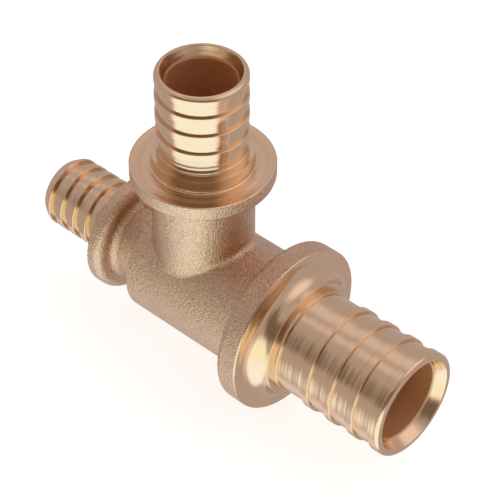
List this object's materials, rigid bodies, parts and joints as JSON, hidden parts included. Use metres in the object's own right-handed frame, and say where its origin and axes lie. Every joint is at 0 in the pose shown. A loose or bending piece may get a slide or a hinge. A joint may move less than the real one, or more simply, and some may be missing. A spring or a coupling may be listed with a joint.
{
  "type": "pipe reducing tee",
  "caption": "Brass tee for plastic pipe, with ribbed spigots of unequal size behind flanged collars.",
  "frame": {"origin": "where the axis of the run meets the axis of the branch", "axes": "+X along the run towards the large spigot, +Z along the branch"},
  "size_m": [0.0935, 0.0348, 0.0686],
  "materials": {
    "brass": "cast barrel and flanges, turned spigots"
  },
  "bodies": {
    "root": {"tee_body": "brass"}
  },
  "joints": []
}
